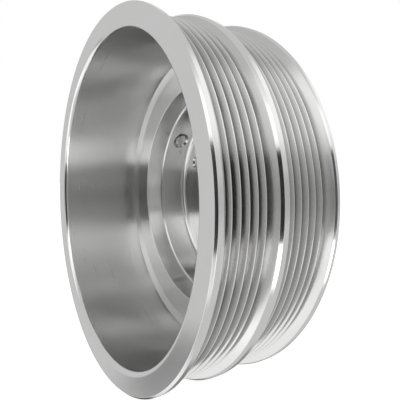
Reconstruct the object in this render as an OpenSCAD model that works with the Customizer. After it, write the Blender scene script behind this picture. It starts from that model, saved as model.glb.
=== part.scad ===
// Deep-dish crank pulley for a belt-driven supercharger. One machined cup carries two ribbed belt tracks,
// a steel hub is pressed and pinned into the cup's rear sleeve, and a torsional damper sits behind the web.
// Millimetres. The axis lies along Y, the open front faces -Y and +Z is up.
// The origin is on the axis, at the rear seat of the hub's nose. Depths run back from the front face.

/* [Belt tracks] */
// Outside diameter of the front flange, middle ridge and rear rim
flange_d = 174; // [150:0.5:215]
// Height of the flanges above the rib tips
flange_rise = 2.9; // [2:0.1:4]
// Ribs on each belt
ribs = 6; // [3:1:8]
// Spacing of the ribs
rib_pitch = 3.56; // [3.2:0.01:4.4]
// Included angle of a groove
groove_angle = 40; // [36:1:44]
// Depth of a groove below the rib tips
groove_depth = 3.2; // [2.4:0.1:3.4]
// Width of the flat on a rib tip
tip_land = 0.4; // [0.2:0.05:0.5]
// Front face to the front belt track
front_land = 4.5; // [3.5:0.1:9]
// Front belt track to rear belt track
middle_land = 5.6; // [4:0.1:12]
// Rear belt track to the rear face
rear_land = 3.2; // [2.5:0.1:9]
// Bevel on the front face's outer edge
face_bevel = 0.8; // [0.3:0.1:1.5]
// Bevel on the edges beside the grooves
edge_bevel = 0.8; // [0.2:0.1:0.9]
// Bevel on the rear rim's edges
rim_bevel = 0.5; // [0.2:0.1:0.8]

/* [Cup] */
// Metal left between the groove roots and the cup
cup_wall = 4.4; // [3:0.1:8]
// Thickness of the web that closes the cup
web_t = 5.4; // [4:0.1:12]
// Rounding of the cup's mouth
mouth_round = 2.4; // [1:0.1:3]
// Width of the sloping ring between the cup's wall and its web
corner_w = 3.4; // [1:0.1:4]
// Height of that ring along the axis
corner_h = 1.6; // [0.5:0.1:3]
// How much the throat opens from its rear edge to the web
throat_flare = 2.3; // [0.5:0.1:4]
// Length of the throat, from the web's front to the hub
throat_l = 9.4; // [7:0.1:20]
// Thickness of the rear sleeve that holds the hub
sleeve_wall = 8.2; // [7.5:0.1:12]
// Length of the rear sleeve behind the web
sleeve_l = 18; // [17:0.5:30]

/* [Hub] */
// Inside diameter of the hub's dish
dish_d = 112.6; // [90:0.1:140]
// Thickness of the dish's wall
dish_wall = 3; // [2.5:0.1:6]
// Depth of the dish
dish_l = 17.5; // [14:0.5:35]
// Rounding at the bottom of the dish
dish_fillet = 2.5; // [1:0.1:5]
// Thickness of the hub's web
hub_web_t = 10; // [6:0.5:16]
// Bore for the crank's snout
bore_d = 32; // [24:0.5:40]
// Wall round the bore, out to the seal track
nose_wall = 8; // [5:0.5:12]
// Length of the nose behind the hub's web
nose_l = 24.5; // [15:0.5:45]
// Diameter of the bolt washer's recess
washer_d = 44; // [42:0.5:60]
// Depth of the bolt washer's recess
washer_recess = 2; // [0.5:0.1:3]
// Width of the keyway
key_w = 5; // [4:0.5:8]
// Depth of the keyway outside the bore
key_h = 2.4; // [1.5:0.1:4]
// Bolt circle of the puller holes
puller_pcd = 88; // [75:0.5:96]
// Puller holes, tapped for M8
puller_hole_d = 6.8; // [5:0.1:8.5]
// Hub pins, and puller holes too
pins = 3; // [2:1:3]
// Diameter of a hub pin
pin_d = 7; // [4:0.5:7.5]
// Front end of the hub to the pins
pin_inset = 9.2; // [7:0.1:10]
// How far a pin's inner end lies below the dish's wall
pin_sink = 0.3; // [0.2:0.1:1.5]
// Width of the countersink round a pin's inner end
pin_sink_w = 1.8; // [1:0.1:2.5]
// Chamfer at the front of the puller holes
puller_chamfer = 1; // [0.4:0.1:1.5]

/* [Damper] */
// Width of the inertia ring along the axis
ring_w = 10; // [8:0.5:16]
// Thickness of the inertia ring along a radius
ring_t = 8; // [8:0.1:16]
// Space between the inertia ring and the parts on either side
ring_gap = 0.8; // [0.5:0.1:1.2]
// Space between the inertia ring and the rear sleeve
ring_clearance = 1; // [0.5:0.1:2]
// Thickness of the elastomer rings
o_ring_d = 2.4; // [2:0.1:2.8]
// Thickness of the damper's cover
cover_t = 3; // [2.6:0.1:5]
// Screws that hold the cover, a multiple of the number of pins
cover_screws_n = 9; // [6:3:15]
// Thread diameter of the cover screws
screw_d = 4; // [3:0.5:4.5]
// Length of the cover screws
screw_l = 14; // [10:1:16]
// Outside diameter of the steel thread inserts
insert_d = 5.4; // [5:0.1:5.6]
// Length of the thread inserts
insert_l = 9; // [6:0.5:10]

/* [Hidden] */
$fn = 180;

// Steps in one rounded corner
arc_steps = 8;
// Bevel on the small edges of the hub, ring and cover
small_bevel = 0.5;
// Bevel on the nose's rear edge
nose_bevel = 1;
// Step from the throat out to the hub's dish
throat_step = 1;
// Clearance of the cover on the sleeve and hub
cover_clearance = 0.05;
// How far the inertia ring stands out past the cover
cover_step = 1.5;
// Clearance of a screw in its insert and in the cover
screw_clearance = 0.05;
// How far the screws stand outside the middle of the sleeve's wall, so their heads clear its bore
screw_offset = 0.4;
// Free gap between an elastomer ring and the face that it rubs on
squeeze_gap = 0.05;
// Distance that a pin's outer end stays inside the sleeve
pin_outer_inset = 0.3;
// How far tools cut past a face
over = 1;

// Radii, from the belt tracks inwards
flange_r = flange_d / 2;
tip_r = flange_r - flange_rise;
root_r = tip_r - groove_depth;
cup_r = root_r - cup_wall;
dish_r = dish_d / 2;
seat_r = dish_r + dish_wall;
sleeve_r = seat_r + sleeve_wall;
throat_rear_r = dish_r + throat_step;
throat_front_r = throat_rear_r + throat_flare;
nose_r = bore_d / 2 + nose_wall;
ring_in_r = sleeve_r + ring_clearance;
ring_out_r = ring_in_r + ring_t;
cover_out_r = ring_out_r - cover_step;
screw_r = (seat_r + sleeve_r) / 2 + screw_offset;

// Depths back from the front face
track_w = ribs * rib_pitch;
rear_track = front_land + track_w + middle_land;
shell_w = rear_track + track_w + rear_land;
cup_depth = shell_w - web_t;
hub_front = cup_depth + throat_l;
sleeve_end = shell_w + sleeve_l;
dish_floor = hub_front + dish_l;
hub_web_rear = dish_floor + hub_web_t;
seat_depth = hub_web_rear + nose_l;
ring_front = shell_w + ring_gap;
ring_rear = ring_front + ring_w;
cover_front = ring_rear + ring_gap;
cover_rear = sleeve_end + cover_t;
pin_depth = hub_front + pin_inset;

// Groove shape
slope = tan(groove_angle / 2);
groove_top_w = rib_pitch - tip_land;
groove_root_w = groove_top_w - 2 * groove_depth * slope;
flange_run = flange_rise * slope;

// Angles from +X towards +Z
key_angle = 90;
pin_angle = 145;
puller_angle = 156;
screw_angle = pin_angle + 180 / cover_screws_n;

// Elastomer ring places, as a share of the inertia ring's thickness from its edges
o_ring_share = 0.26;
o_ring_inner_r = ring_in_r + ring_t * o_ring_share;
o_ring_outer_r = ring_out_r - ring_t * o_ring_share;
o_ring_groove_h = o_ring_d - ring_gap + squeeze_gap;

// Hexagon socket of a cover screw, as shares of its thread diameter
socket_w = 0.7;
socket_depth = 0.4;

// Balance drillings in the inertia ring's outer face
balance_hole_d = 5;
balance_hole_depth = 3;
balance_depth = ring_front + ring_w / 2;
balance_angles = [20, 34, 228];

function arc(r, d, radius, from, to) = [
    for (i = [0:arc_steps])
        let (a = from + (to - from) * i / arc_steps)
            [r + radius * cos(a), d + radius * sin(a)]
];

// One belt track, from the root of its first groove to the root of its last
function track(start) = [
    for (i = [0:ribs - 1]) let (centre = start + (i + 0.5) * rib_pitch)
        each concat(
            i == 0 ? [] : [[tip_r, centre - groove_top_w / 2]],
            [[root_r, centre - groove_root_w / 2], [root_r, centre + groove_root_w / 2]],
            i == ribs - 1 ? [] : [[tip_r, centre + groove_top_w / 2]])
];

// A flange's edge where the flank of a groove rises to it, side is 1 before a track and -1 after it
function flange_edge(edge, side, bevel = edge_bevel) =
    let (corner = edge + side * (tip_land / 2 - flange_run),
         on_top = [flange_r, corner - side * bevel],
         on_flank = [flange_r - bevel, corner + side * bevel * slope])
    side > 0 ? [on_top, on_flank] : [on_flank, on_top];

// Lays what is drawn along +Z from the front face back along the row's Y axis
module seated() translate([0, -seat_depth, 0]) rotate([-90, 0, 0]) children();

// Copies round the axis, the first at an angle from +X towards +Z
module around(count, first) for (i = [0:count - 1]) rotate([0, 0, -first - 360 * i / count]) children();

module turned(outline) rotate_extrude() polygon(outline);

// A radial drill or pin between two radii, at a depth
module radial(inner, outer, depth, diameter)
    translate([inner, 0, depth]) rotate([0, 90, 0]) cylinder(h = outer - inner, d = diameter, $fn = 48);

// An axial drill from one depth to another, at a radius
module drill(radius, front, rear, diameter)
    translate([radius, 0, front]) cylinder(h = rear - front, d = diameter, $fn = 48);

// The 45 degree cutter that opens a hole's mouth by a width all round, starting before the face
module funnel(diameter, width)
    cylinder(h = over + width, d1 = diameter + 2 * (over + width), d2 = diameter, $fn = 48);

function shell_outline() = concat(
    [[flange_r - face_bevel, 0], [flange_r, face_bevel]],
    flange_edge(front_land, 1),
    track(front_land),
    flange_edge(front_land + track_w, -1),
    flange_edge(rear_track, 1),
    track(rear_track),
    flange_edge(rear_track + track_w, -1, rim_bevel),
    [[flange_r, shell_w - rim_bevel], [flange_r - rim_bevel, shell_w]],
    [[sleeve_r + small_bevel, shell_w], [sleeve_r, shell_w + small_bevel]],
    [[sleeve_r, sleeve_end - small_bevel], [sleeve_r - small_bevel, sleeve_end]],
    [[seat_r + small_bevel, sleeve_end], [seat_r, sleeve_end - small_bevel]],
    [[seat_r, hub_front], [throat_rear_r, hub_front], [throat_front_r, cup_depth]],
    [[cup_r - corner_w, cup_depth], [cup_r, cup_depth - corner_h]],
    arc(cup_r + mouth_round, mouth_round, mouth_round, 180, 270));

module pulley_shell() color([0.74, 0.75, 0.76]) seated() difference() {
    turned(shell_outline());
    around(pins, pin_angle) radial(seat_r - over, sleeve_r + over, pin_depth, pin_d);
    around(cover_screws_n, screw_angle) drill(screw_r, sleeve_end - screw_l, sleeve_end + over, insert_d);
}

function hub_outline() = concat(
    [[dish_r + small_bevel, hub_front], [seat_r - small_bevel, hub_front], [seat_r, hub_front + small_bevel]],
    [[seat_r, hub_web_rear - small_bevel], [seat_r - small_bevel, hub_web_rear]],
    arc(nose_r + dish_fillet, hub_web_rear + dish_fillet, dish_fillet, 270, 180),
    [[nose_r, seat_depth - nose_bevel], [nose_r - nose_bevel, seat_depth]],
    [[bore_d / 2, seat_depth], [bore_d / 2, dish_floor + washer_recess + small_bevel]],
    [[bore_d / 2 + small_bevel, dish_floor + washer_recess], [washer_d / 2, dish_floor + washer_recess]],
    [[washer_d / 2, dish_floor]],
    arc(dish_r - dish_fillet, dish_floor - dish_fillet, dish_fillet, 90, 0),
    [[dish_r, hub_front + small_bevel]]);

module crank_hub() color([0.6, 0.61, 0.62]) seated() difference() {
    turned(hub_outline());
    around(pins, pin_angle) {
        radial(dish_r - over, seat_r + over, pin_depth, pin_d);
        translate([dish_r - over, 0, pin_depth]) rotate([0, 90, 0]) funnel(pin_d, pin_sink_w);
    }
    around(pins, puller_angle) {
        drill(puller_pcd / 2, dish_floor - over, hub_web_rear + over, puller_hole_d);
        translate([puller_pcd / 2, 0, dish_floor - over]) funnel(puller_hole_d, puller_chamfer);
    }
    around(1, key_angle)
        translate([0, -key_w / 2, dish_floor - over]) cube([bore_d / 2 + key_h, key_w, seat_depth]);
}

module hub_pins() color([0.5, 0.5, 0.52]) seated()
    around(pins, pin_angle) radial(dish_r + pin_sink, sleeve_r - pin_outer_inset, pin_depth, pin_d);

module inertia_ring() color([0.35, 0.35, 0.36]) seated() difference() {
    turned([
        [ring_in_r, ring_front],
        [ring_out_r - small_bevel, ring_front], [ring_out_r, ring_front + small_bevel],
        [ring_out_r, ring_rear - small_bevel], [ring_out_r - small_bevel, ring_rear],
        [ring_in_r, ring_rear]]);
    for (r = [o_ring_inner_r, o_ring_outer_r]) {
        turned(groove_section(r, ring_front - over, ring_front + o_ring_groove_h));
        turned(groove_section(r, ring_rear - o_ring_groove_h, ring_rear + over));
    }
    for (a = balance_angles)
        around(1, a)
            radial(ring_out_r - balance_hole_depth, ring_out_r + over, balance_depth, balance_hole_d);
}

function groove_section(r, front, rear) =
    let (near = r - o_ring_d / 2, far = r + o_ring_d / 2)
        [[near, front], [far, front], [far, rear], [near, rear]];

// An elastomer ring, seated in its groove and standing out towards the part that it rubs on
module o_ring(r, depth) color([0.09, 0.09, 0.1]) seated()
    translate([0, 0, depth]) rotate_extrude() translate([r, 0]) circle(d = o_ring_d, $fn = 32);

module front_inner_o_ring() o_ring(o_ring_inner_r, ring_front + o_ring_groove_h - o_ring_d / 2);
module front_outer_o_ring() o_ring(o_ring_outer_r, ring_front + o_ring_groove_h - o_ring_d / 2);
module rear_inner_o_ring() o_ring(o_ring_inner_r, ring_rear - o_ring_groove_h + o_ring_d / 2);
module rear_outer_o_ring() o_ring(o_ring_outer_r, ring_rear - o_ring_groove_h + o_ring_d / 2);

function cover_outline() = let (pilot = sleeve_r + cover_clearance, wall_r = pilot + cover_t) [
    [pilot, cover_front], [cover_out_r - small_bevel, cover_front], [cover_out_r, cover_front + small_bevel],
    [cover_out_r, cover_front + cover_t - small_bevel], [cover_out_r - small_bevel, cover_front + cover_t],
    [wall_r, cover_front + cover_t], [wall_r, cover_rear - small_bevel], [wall_r - small_bevel, cover_rear],
    [seat_r + cover_clearance, cover_rear], [seat_r + cover_clearance, sleeve_end], [pilot, sleeve_end]];

module damper_cover() color([0.66, 0.67, 0.68]) seated() difference() {
    turned(cover_outline());
    around(cover_screws_n, screw_angle) screw_form(screw_clearance, sleeve_end - over, over);
}

// A screw's shank and 45 degree head, flush with the cover.
// A cutter of the same form has room all round and goes on past the face.
module screw_form(room, tip, past) translate([screw_r, 0, 0]) rotate_extrude($fn = 48) polygon([
    [0, tip],
    [screw_d / 2 + room, tip],
    [screw_d / 2 + room, cover_rear - screw_d / 2],
    [screw_d + room + past, cover_rear + past],
    [0, cover_rear + past]
]);

module cover_screws() color([0.2, 0.2, 0.21]) seated() around(cover_screws_n, screw_angle) difference() {
    screw_form(-screw_clearance, cover_rear - screw_l, 0);
    translate([screw_r, 0, cover_rear - screw_d * socket_depth])
        cylinder(h = screw_d, d = screw_d * socket_w, $fn = 6);
}

module thread_inserts() color([0.55, 0.56, 0.58]) seated() around(cover_screws_n, screw_angle) difference() {
    drill(screw_r, sleeve_end - small_bevel - insert_l, sleeve_end - small_bevel, insert_d);
    drill(screw_r, sleeve_end - insert_l - over, sleeve_end + over, screw_d);
}

pulley_shell();
crank_hub();
hub_pins();
inertia_ring();
front_inner_o_ring();
front_outer_o_ring();
rear_inner_o_ring();
rear_outer_o_ring();
damper_cover();
cover_screws();
thread_inserts();
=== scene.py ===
import math

import bpy
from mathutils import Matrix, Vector


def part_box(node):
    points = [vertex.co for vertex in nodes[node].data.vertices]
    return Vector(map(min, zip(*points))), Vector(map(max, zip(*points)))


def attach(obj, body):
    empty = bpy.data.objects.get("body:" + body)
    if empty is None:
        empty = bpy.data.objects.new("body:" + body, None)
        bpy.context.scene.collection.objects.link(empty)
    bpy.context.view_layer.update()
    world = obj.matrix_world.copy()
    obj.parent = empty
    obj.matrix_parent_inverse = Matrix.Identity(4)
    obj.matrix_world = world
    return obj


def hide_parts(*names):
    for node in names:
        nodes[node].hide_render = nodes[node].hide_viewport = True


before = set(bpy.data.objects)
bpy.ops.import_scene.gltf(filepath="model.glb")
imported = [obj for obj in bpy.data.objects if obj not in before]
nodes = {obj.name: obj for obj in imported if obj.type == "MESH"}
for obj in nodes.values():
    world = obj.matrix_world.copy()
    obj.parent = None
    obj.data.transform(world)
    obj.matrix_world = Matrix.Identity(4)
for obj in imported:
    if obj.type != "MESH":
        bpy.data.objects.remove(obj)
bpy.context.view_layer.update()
scene = bpy.context.scene

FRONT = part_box("pulley_shell")[0].y
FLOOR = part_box("pulley_shell")[0].z


def ns(tree, kind, **sockets):
    """A node of a kind, with values for its inputs by name, or by number as i0, i1 and so on.
    A pair (node, output) is linked instead, and a name that starts with _ sets one of the node's own settings."""
    node = tree.nodes.new(kind)
    for name, value in sockets.items():
        if name.startswith("_"):
            setattr(node, name[1:], value)
            continue
        key = int(name[1:]) if name[0] == "i" and name[1:].isdigit() else name
        socket = node.inputs[key]
        if isinstance(value, tuple) and len(value) == 2 and isinstance(value[0], bpy.types.Node):
            tree.links.new(value[0].outputs[value[1]], socket)
        else:
            socket.default_value = value
    return node


def math_node(tree, op, a, b=0.0, c=0.0):
    return ns(tree, "ShaderNodeMath", _operation=op, i0=a, i1=b, i2=c)


def grey(tree, value):
    return ns(tree, "ShaderNodeCombineColor", Red=(value, 0), Green=(value, 0), Blue=(value, 0))


def polar(tree):
    """Nodes that give the distance from the spin axis and the place along it, in mm, and the angle round it."""
    place = ns(tree, "ShaderNodeTexCoord")
    part = ns(tree, "ShaderNodeSeparateXYZ", Vector=(place, "Object"))
    xx = math_node(tree, "MULTIPLY", (part, "X"), (part, "X"))
    zz = math_node(tree, "MULTIPLY", (part, "Z"), (part, "Z"))
    rr = math_node(tree, "ADD", (xx, 0), (zz, 0))
    r = math_node(tree, "MULTIPLY", (math_node(tree, "SQRT", (rr, 0)), 0), 1000.0)
    y = math_node(tree, "MULTIPLY", (part, "Y"), 1000.0)
    angle = math_node(tree, "ARCTAN2", (part, "Z"), (part, "X"))
    return r, y, angle


def turned_metal(name, color, rough, aniso=0.6, lines=1.0, feed=0.12, blotch=0.03, painted_groove_shade=None):
    """Bare metal cut on a lathe: rings of tool marks, uneven shine round them and a little staining.
    The last argument is (inner radius, outer radius, share of the colour left at the inner one): painted shade that
    darkens the grooves towards their roots, where the flanks shade one another."""
    m = bpy.data.materials.new(name)
    m.use_nodes = True
    t = m.node_tree
    t.nodes.clear()
    r, y, angle = polar(t)
    # tool marks follow the axis and the radius closely, and the angle only slowly
    across = math_node(t, "ADD", (r, 0), (y, 0))
    along = math_node(t, "SUBTRACT", (r, 0), (y, 0))
    fine = ns(t, "ShaderNodeCombineXYZ",
              X=(math_node(t, "MULTIPLY", (across, 0), 1.0 / feed), 0),
              Y=(math_node(t, "MULTIPLY", (along, 0), 1.0 / feed), 0),
              Z=(math_node(t, "MULTIPLY", (angle, 0), 0.6), 0))
    fine_noise = ns(t, "ShaderNodeTexNoise", Vector=(fine, 0), Scale=1.0, Detail=3.0, Roughness=0.6)
    wide = ns(t, "ShaderNodeCombineXYZ",
              X=(math_node(t, "MULTIPLY", (across, 0), 0.35), 0),
              Y=(math_node(t, "MULTIPLY", (along, 0), 0.35), 0),
              Z=(math_node(t, "MULTIPLY", (angle, 0), 1.3), 0))
    wide_noise = ns(t, "ShaderNodeTexNoise", Vector=(wide, 0), Scale=1.0, Detail=4.0, Roughness=0.55)
    place = ns(t, "ShaderNodeTexCoord")
    stain = ns(t, "ShaderNodeTexNoise", Vector=(place, "Object"), Scale=38.0, Detail=5.0, Roughness=0.6)
    # colour: slightly darker in the stained patches
    stain_and_shade_tone = ns(t, "ShaderNodeMapRange", Value=(stain, 0), i1=0.3, i2=0.75, i3=1.0, i4=1.0 - blotch)
    # painted shade: the colour darkens towards the groove roots, in place of the shade the flanks cast on one
    # another
    if painted_groove_shade:
        painted_shade_share = ns(t, "ShaderNodeMapRange", Value=(r, 0), i1=painted_groove_shade[0], i2=painted_groove_shade[1], i3=painted_groove_shade[2], i4=1.0)
        stain_and_shade_tone = math_node(t, "MULTIPLY", (stain_and_shade_tone, 0), (painted_shade_share, 0))
    shade = ns(t, "ShaderNodeMix", _data_type="RGBA", _blend_type="MULTIPLY", i0=1.0)
    t.links.new(grey(t, stain_and_shade_tone).outputs[0], shade.inputs[7])
    shade.inputs[6].default_value = (color[0], color[1], color[2], 1.0)
    polish = ns(t, "ShaderNodeMapRange", Value=(wide_noise, 0), i1=0.25, i2=0.75, i3=rough * 0.92, i4=rough * 1.1)
    bump = ns(t, "ShaderNodeBump", Strength=0.25 * lines, Distance=0.00001, Height=(fine_noise, 0))
    tangent = ns(t, "ShaderNodeTangent", _direction_type="RADIAL", _axis="Y")
    p = ns(t, "ShaderNodeBsdfPrincipled", Metallic=1.0, Anisotropic=aniso)
    p.inputs["Anisotropic Rotation"].default_value = 0.25
    t.links.new(shade.outputs[2], p.inputs["Base Color"])
    t.links.new(polish.outputs[0], p.inputs["Roughness"])
    t.links.new(bump.outputs[0], p.inputs["Normal"])
    t.links.new(tangent.outputs[0], p.inputs["Tangent"])
    out = ns(t, "ShaderNodeOutputMaterial")
    t.links.new(p.outputs[0], out.inputs[0])
    return m


def rubber(name):
    m = bpy.data.materials.new(name)
    m.use_nodes = True
    t = m.node_tree
    p = t.nodes["Principled BSDF"]
    place = ns(t, "ShaderNodeTexCoord")
    grain = ns(t, "ShaderNodeTexNoise", Vector=(place, "Object"), Scale=1500.0, Detail=3.0)
    dust = ns(t, "ShaderNodeTexNoise", Vector=(place, "Object"), Scale=60.0, Detail=5.0)
    ramp = ns(t, "ShaderNodeMapRange", Value=(dust, 0), i1=0.3, i2=0.8, i3=0.018, i4=0.05)
    t.links.new(grey(t, ramp).outputs[0], p.inputs["Base Color"])
    p.inputs["Roughness"].default_value = 0.62
    bump = ns(t, "ShaderNodeBump", Strength=0.3, Distance=0.00003, Height=(grain, 0))
    t.links.new(bump.outputs[0], p.inputs["Normal"])
    return m


def rounded(corners, steps=6):
    """A closed outline with its corners rounded. Each corner is (radius from the axis, depth, rounding, tag),
    in millimetres. The tag names the material of the stretch that starts at that corner."""
    outline = []
    count = len(corners)
    for i in range(count):
        before, here, after = (Vector(corners[j % count][:2]) for j in (i - 1, i, i + 1))
        rounding, tag = corners[i][2], corners[i][3]
        if rounding <= 0:
            outline.append((here, tag))
            continue
        a, b = (before - here).normalized(), (after - here).normalized()
        half = math.acos(max(-1.0, min(1.0, a.dot(b)))) / 2
        centre = here + (a + b).normalized() * (rounding / math.sin(half))
        start = here + a * (rounding / math.tan(half)) - centre
        end = here + b * (rounding / math.tan(half)) - centre
        turn = math.atan2(start.x * end.y - start.y * end.x, start.dot(end))
        for k in range(steps + 1):
            t = turn * k / steps
            c, s = math.cos(t), math.sin(t)
            arm = Vector((start.x * c - start.y * s, start.x * s + start.y * c))
            outline.append((centre + arm, tag))
    return outline


def lathe(name, corners, materials, segments=480, steps=6, sharp=28.0):
    """Turns an outline round the spin axis. Depths are measured back from the pulley's front face."""
    outline = rounded(corners, steps)
    mesh = bpy.data.meshes.new(name)
    ring = len(outline)
    points = []
    for s in range(segments):
        a = 2 * math.pi * s / segments
        ca, sa = math.cos(a) / 1000, math.sin(a) / 1000
        points.extend((p.x * ca, FRONT + p.y / 1000, p.x * sa) for p, tag in outline)
    faces, slots = [], []
    names = list(materials)
    for s in range(segments):
        here, following = s * ring, (s + 1) % segments * ring
        for k in range(ring):
            n = (k + 1) % ring
            faces.append((here + k, here + n, following + n, following + k))
            slots.append(names.index(outline[k][1]))
    mesh.from_pydata(points, [], faces)
    mesh.polygons.foreach_set("material_index", slots)
    for tag in names:
        mesh.materials.append(materials[tag])
    mesh.polygons.foreach_set("use_smooth", [True] * len(faces))
    mesh.update()
    mesh.set_sharp_from_angle(angle=math.radians(sharp))
    o = bpy.data.objects.new(name, mesh)
    scene.collection.objects.link(o)
    weighted = o.modifiers.new("even_shading", "WEIGHTED_NORMAL")
    weighted.mode = "FACE_AREA"
    weighted.weight = 100
    weighted.keep_sharp = True
    return o


def dress(node, material):
    o = nodes[node]
    o.data.materials.clear()
    o.data.materials.append(material)


# pulley shell: the CAD node's sizes, with every edge rounded as the real cutter leaves it
FLANGE_R, TIP_R, ROOT_R, CUP_R = 87.0, 84.1, 80.9, 76.5
SLEEVE_R, SEAT_R = 67.5, 59.3
THROAT_FRONT_R, THROAT_REAR_R = 59.6, 57.3
RIB_PITCH, RIBS, TIP_LAND, ROOT_LAND = 3.56, 6, 0.4, 0.83
FRONT_TRACK, REAR_TRACK, TRACK_W = 4.5, 31.46, 21.36
WIDTH, CUP_DEPTH, HUB_FRONT, SLEEVE_END = 56.02, 50.62, 60.02, 74.02
FLANK_RUN = (FLANGE_R - TIP_R) * math.tan(math.radians(20)) - TIP_LAND / 2


def track(start):
    """The corners of one belt track, from its first groove's root to its last."""
    corners = []
    for rib in range(RIBS):
        middle = start + (rib + 0.5) * RIB_PITCH
        if rib:
            corners.append((TIP_R, middle - RIB_PITCH / 2 + TIP_LAND / 2, 0.1, "grooves"))
        corners.append((ROOT_R, middle - ROOT_LAND / 2, 0.55, "grooves"))
        corners.append((ROOT_R, middle + ROOT_LAND / 2, 0.55, "grooves"))
        if rib < RIBS - 1:
            corners.append((TIP_R, middle + RIB_PITCH / 2 - TIP_LAND / 2, 0.1, "turned"))
    return corners


def bevelled(before, here, after, leg, ease, tag, next_tag=None):
    """The two corners of a bevel that takes the same leg off both sides of a corner, each slightly rounded."""
    corner = Vector(here)
    a = corner + (Vector(before) - corner).normalized() * leg
    b = corner + (Vector(after) - corner).normalized() * leg
    return [(a.x, a.y, ease, tag), (b.x, b.y, ease, next_tag or tag)]


def flank_point(root, corner, radius):
    """Where the straight flank from a groove's root to a flange's edge passes a radius."""
    share = (radius - ROOT_R) / (FLANGE_R - ROOT_R)
    return (radius, root + (corner - root) * share)


flank_a, flank_b = FRONT_TRACK - FLANK_RUN, FRONT_TRACK + TRACK_W + FLANK_RUN
flank_c, flank_d = REAR_TRACK - FLANK_RUN, REAR_TRACK + TRACK_W + FLANK_RUN
HALF_GAP = (RIB_PITCH - ROOT_LAND) / 2
track_a = flank_point(FRONT_TRACK + HALF_GAP, flank_a, TIP_R)
track_b = flank_point(FRONT_TRACK + TRACK_W - HALF_GAP, flank_b, TIP_R)
track_c = flank_point(REAR_TRACK + HALF_GAP, flank_c, TIP_R)
track_d = flank_point(REAR_TRACK + TRACK_W - HALF_GAP, flank_d, TIP_R)
BEVEL, FACE_BEVEL, RIM_BEVEL, EASE = 0.85, 0.8, 0.53, 0.2
LEAD_W, LEAD_H, MOUTH_ROUND = 3.4, 1.6, 2.4
shell_corners = [
    *bevelled((CUP_R, 0.0), (FLANGE_R, 0.0), (FLANGE_R, flank_a), FACE_BEVEL, EASE, "turned"),
    *bevelled((FLANGE_R, 0.0), (FLANGE_R, flank_a), track_a, BEVEL, EASE, "turned", "grooves"),
    (*track_a, 0, "grooves"),
    *track(FRONT_TRACK),
    (*track_b, 0, "grooves"),
    *bevelled(track_b, (FLANGE_R, flank_b), (FLANGE_R, flank_c), BEVEL, EASE, "turned"),
    *bevelled((FLANGE_R, flank_b), (FLANGE_R, flank_c), track_c, BEVEL, EASE, "turned", "grooves"),
    (*track_c, 0, "grooves"),
    *track(REAR_TRACK),
    (*track_d, 0, "grooves"),
    *bevelled(track_d, (FLANGE_R, flank_d), (FLANGE_R, WIDTH), RIM_BEVEL, EASE, "turned"),
    *bevelled((FLANGE_R, flank_d), (FLANGE_R, WIDTH), (SLEEVE_R, WIDTH), RIM_BEVEL, EASE, "turned"),
    (SLEEVE_R, WIDTH, 0.5, "turned"),
    (SLEEVE_R, SLEEVE_END, 0.5, "turned"),
    (SEAT_R, SLEEVE_END, 0.4, "turned"),
    (SEAT_R, HUB_FRONT, 0, "turned"),
    (THROAT_REAR_R, HUB_FRONT, 0.2, "turned"),
    (THROAT_FRONT_R, CUP_DEPTH, 0.3, "turned"),
    (CUP_R - LEAD_W, CUP_DEPTH, 0.3, "turned"),
    (CUP_R, CUP_DEPTH - LEAD_H, 0.3, "bored"),
    (CUP_R, 0.0, MOUTH_ROUND, "turned"),
]
aluminium = turned_metal("turned_aluminium", (0.93, 0.93, 0.925), 0.14, aniso=0.8)
# painted shade in the grooves: half the colour at the root, full colour just below the tips
groove_painted_shade_range = (ROOT_R, TIP_R - 0.3, 0.5)
traction = turned_metal("traction_grooves", (0.78, 0.78, 0.775), 0.15, aniso=0.3, painted_groove_shade=groove_painted_shade_range)
bored = turned_metal("bored_aluminium", (0.75, 0.75, 0.745), 0.29, aniso=1.0, lines=0.25)
shell = lathe("turned_shell", shell_corners, {"turned": aluminium, "grooves": traction, "bored": bored})
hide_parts("pulley_shell")
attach(shell, "pulley")

dress("crank_hub", turned_metal("turned_steel", (0.86, 0.86, 0.855), 0.2, aniso=0.6, blotch=0.06))
dress("hub_pins", turned_metal("ground_steel", (0.7, 0.7, 0.7), 0.16, aniso=0.0))
dress("inertia_ring", turned_metal("dark_ring_steel", (0.14, 0.14, 0.145), 0.4, aniso=0.4, blotch=0.2))
for o_ring in ("front_inner_o_ring", "front_outer_o_ring", "rear_inner_o_ring", "rear_outer_o_ring"):
    dress(o_ring, rubber("elastomer_" + o_ring))
dress("damper_cover", turned_metal("satin_aluminium", (0.84, 0.845, 0.85), 0.26, aniso=0.6))
dress("cover_screws", turned_metal("black_oxide_steel", (0.045, 0.045, 0.05), 0.34, aniso=0.0))
dress("thread_inserts", turned_metal("plain_steel", (0.6, 0.6, 0.6), 0.25, aniso=0.0))

# camera: at the viewing angle of the picture that the part follows, level with the pulley's middle
AZIMUTH = math.radians(57.86)
DIP = math.radians(1.06)
face_centre = Vector((0.0, FRONT, 0.0))
right = Vector((math.cos(AZIMUTH), math.sin(AZIMUTH), 0.0))
level = Vector((-math.sin(AZIMUTH), math.cos(AZIMUTH), 0.0))
forward = math.cos(DIP) * level - Vector((0.0, 0.0, math.sin(DIP)))
up = right.cross(forward)
eye = face_centre + 0.0378 * right + 0.0090 * up - 0.1854 * forward
camera_data = bpy.data.cameras.new("camera")
camera = bpy.data.objects.new("camera", camera_data)
scene.collection.objects.link(camera)
camera.location = eye
camera.rotation_mode = "QUATERNION"
camera.rotation_quaternion = forward.to_track_quat("-Z", "Y")
camera_data.sensor_width = 36.0
camera_data.lens = 35.23
camera_data.shift_x = 0.0335
camera_data.shift_y = -0.0553
camera_data.clip_start = 0.01
scene.camera = camera

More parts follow.
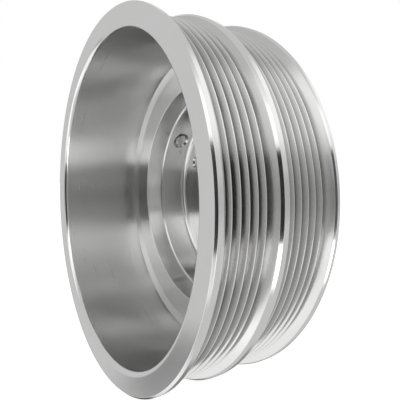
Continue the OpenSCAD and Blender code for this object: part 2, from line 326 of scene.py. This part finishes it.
# floor
bpy.ops.mesh.primitive_plane_add(size=6.0, location=(0, 0, FLOOR))
floor = bpy.context.object
floor.name = "floor"
fm = bpy.data.materials.new("pale_floor")
fm.use_nodes = True
fp = fm.node_tree.nodes["Principled BSDF"]
fp.inputs["Base Color"].default_value = (0.35, 0.35, 0.35, 1)
fp.inputs["Roughness"].default_value = 0.9
fp.inputs["Specular IOR Level"].default_value = 0.0
fp.inputs["Emission Color"].default_value = (1, 1, 1, 1)
fp.inputs["Emission Strength"].default_value = 0.92
floor.data.materials.append(fm)
floor.visible_glossy = False

# world: a pale studio round the object, with a dark gap where the camera stands
world = bpy.data.worlds.new("room")
scene.world = world
world.use_nodes = True
w = world.node_tree
w.nodes.clear()
look = ns(w, "ShaderNodeTexCoord")
way = ns(w, "ShaderNodeSeparateXYZ", Vector=(look, "Generated"))


def heading(azimuth, elevation):
    """A direction in the row frame: azimuth from +X towards +Y, in degrees."""
    a, e = math.radians(azimuth), math.radians(elevation)
    return (math.cos(a) * math.cos(e), math.sin(a) * math.cos(e), math.sin(e))


def panel(azimuth, elevation, inner, outer, amount):
    """A soft-edged round panel of light (or shade, when amount is negative) in a direction."""
    centre = heading(azimuth, elevation)
    near = ns(w, "ShaderNodeVectorMath", _operation="DOT_PRODUCT", i0=(look, "Generated"), i1=centre)
    return ns(w, "ShaderNodeMapRange", Value=(near, "Value"), _interpolation_type="SMOOTHSTEP",
              i1=math.cos(math.radians(outer)), i2=math.cos(math.radians(inner)), i3=0.0, i4=amount)


def facing(azimuth, inner, outer):
    """1 in a sector of the horizon round an azimuth, falling to 0 between its inner and outer half-widths."""
    flat = ns(w, "ShaderNodeCombineXYZ", X=(way, "X"), Y=(way, "Y"))
    level = ns(w, "ShaderNodeVectorMath", _operation="NORMALIZE", i0=(flat, 0))
    near = ns(w, "ShaderNodeVectorMath", _operation="DOT_PRODUCT", i0=(level, 0), i1=heading(azimuth, 0))
    return ns(w, "ShaderNodeMapRange", Value=(near, "Value"), _interpolation_type="SMOOTHSTEP",
              i1=math.cos(math.radians(outer)), i2=math.cos(math.radians(inner)))


def above(elevation, softness=2.5):
    """1 above an elevation and 0 below it."""
    low, high = (math.sin(math.radians(e)) for e in (elevation - softness, elevation + softness))
    return ns(w, "ShaderNodeMapRange", Value=(way, "Z"), _interpolation_type="SMOOTHSTEP", i1=low, i2=high)


def both(a, b):
    """1 where two masks are both 1."""
    return math_node(w, "MULTIPLY", (a, 0), (b, 0))


def opposite(a):
    """1 where a mask is 0."""
    return math_node(w, "SUBTRACT", 1.0, (a, 0))


def lit(mask, amount, so_far):
    """Adds an amount of light where a mask is 1."""
    return math_node(w, "MULTIPLY_ADD", (mask, 0), amount, (so_far, 0))


# azimuth, elevation, inner and outer radius in degrees, amount
PANELS = [
    (60, 42, 10, 30, 0.40),
    (-92, 28, 6, 18, 0.50),
    (-80, -3, 4, 13, -0.30),
    (-45, 42, 10, 30, 0.30),
    (150, 30, 5, 18, 0.22),
    (45, 0, 5, 14, -0.15),
    (132, -52, 5, 20, -0.33),
    (172, -45, 6, 16, -0.50),
    (-149, -29, 2, 9, -0.36),
    (-135, -52, 8, 30, 0.45),
]
total = ns(w, "ShaderNodeValue")
total.outputs[0].default_value = 0.57
for spec in PANELS:
    total = math_node(w, "ADD", (total, 0), (panel(*spec), 0))
# light from the table in front of the cup
table = both(facing(-92, 26, 40), both(above(-42, 5), opposite(above(-13))))
total = lit(table, 0.5, total)
# a low lamp and a wide pale screen beside the camera
under = both(facing(-18, 14, 20), both(above(-44, 6), opposite(above(-18))))
total = lit(under, 1.7, total)
over = both(facing(-38, 32, 42), both(above(22), opposite(above(48, 6))))
total = lit(over, 0.35, total)
# the dark gap, as high as the camera's stand
gap = both(facing(-38, 24, 28), both(above(-23), opposite(above(24))))
gap_shade = math_node(w, "MULTIPLY_ADD", (gap, 0), -0.97, 1.0)
glow = math_node(w, "MULTIPLY", (total, 0), (gap_shade, 0))
seen = ns(w, "ShaderNodeLightPath")
env = ns(w, "ShaderNodeBackground", Color=(1, 1, 1, 1), Strength=(glow, 0))
back = ns(w, "ShaderNodeBackground", Color=(1, 1, 1, 1), Strength=1.0)
mix = ns(w, "ShaderNodeMixShader", i0=(seen, "Is Camera Ray"))
w.links.new(env.outputs[0], mix.inputs[1])
w.links.new(back.outputs[0], mix.inputs[2])
wo = ns(w, "ShaderNodeOutputWorld")
w.links.new(mix.outputs[0], wo.inputs[0])

scene.view_settings.view_transform = "Standard"
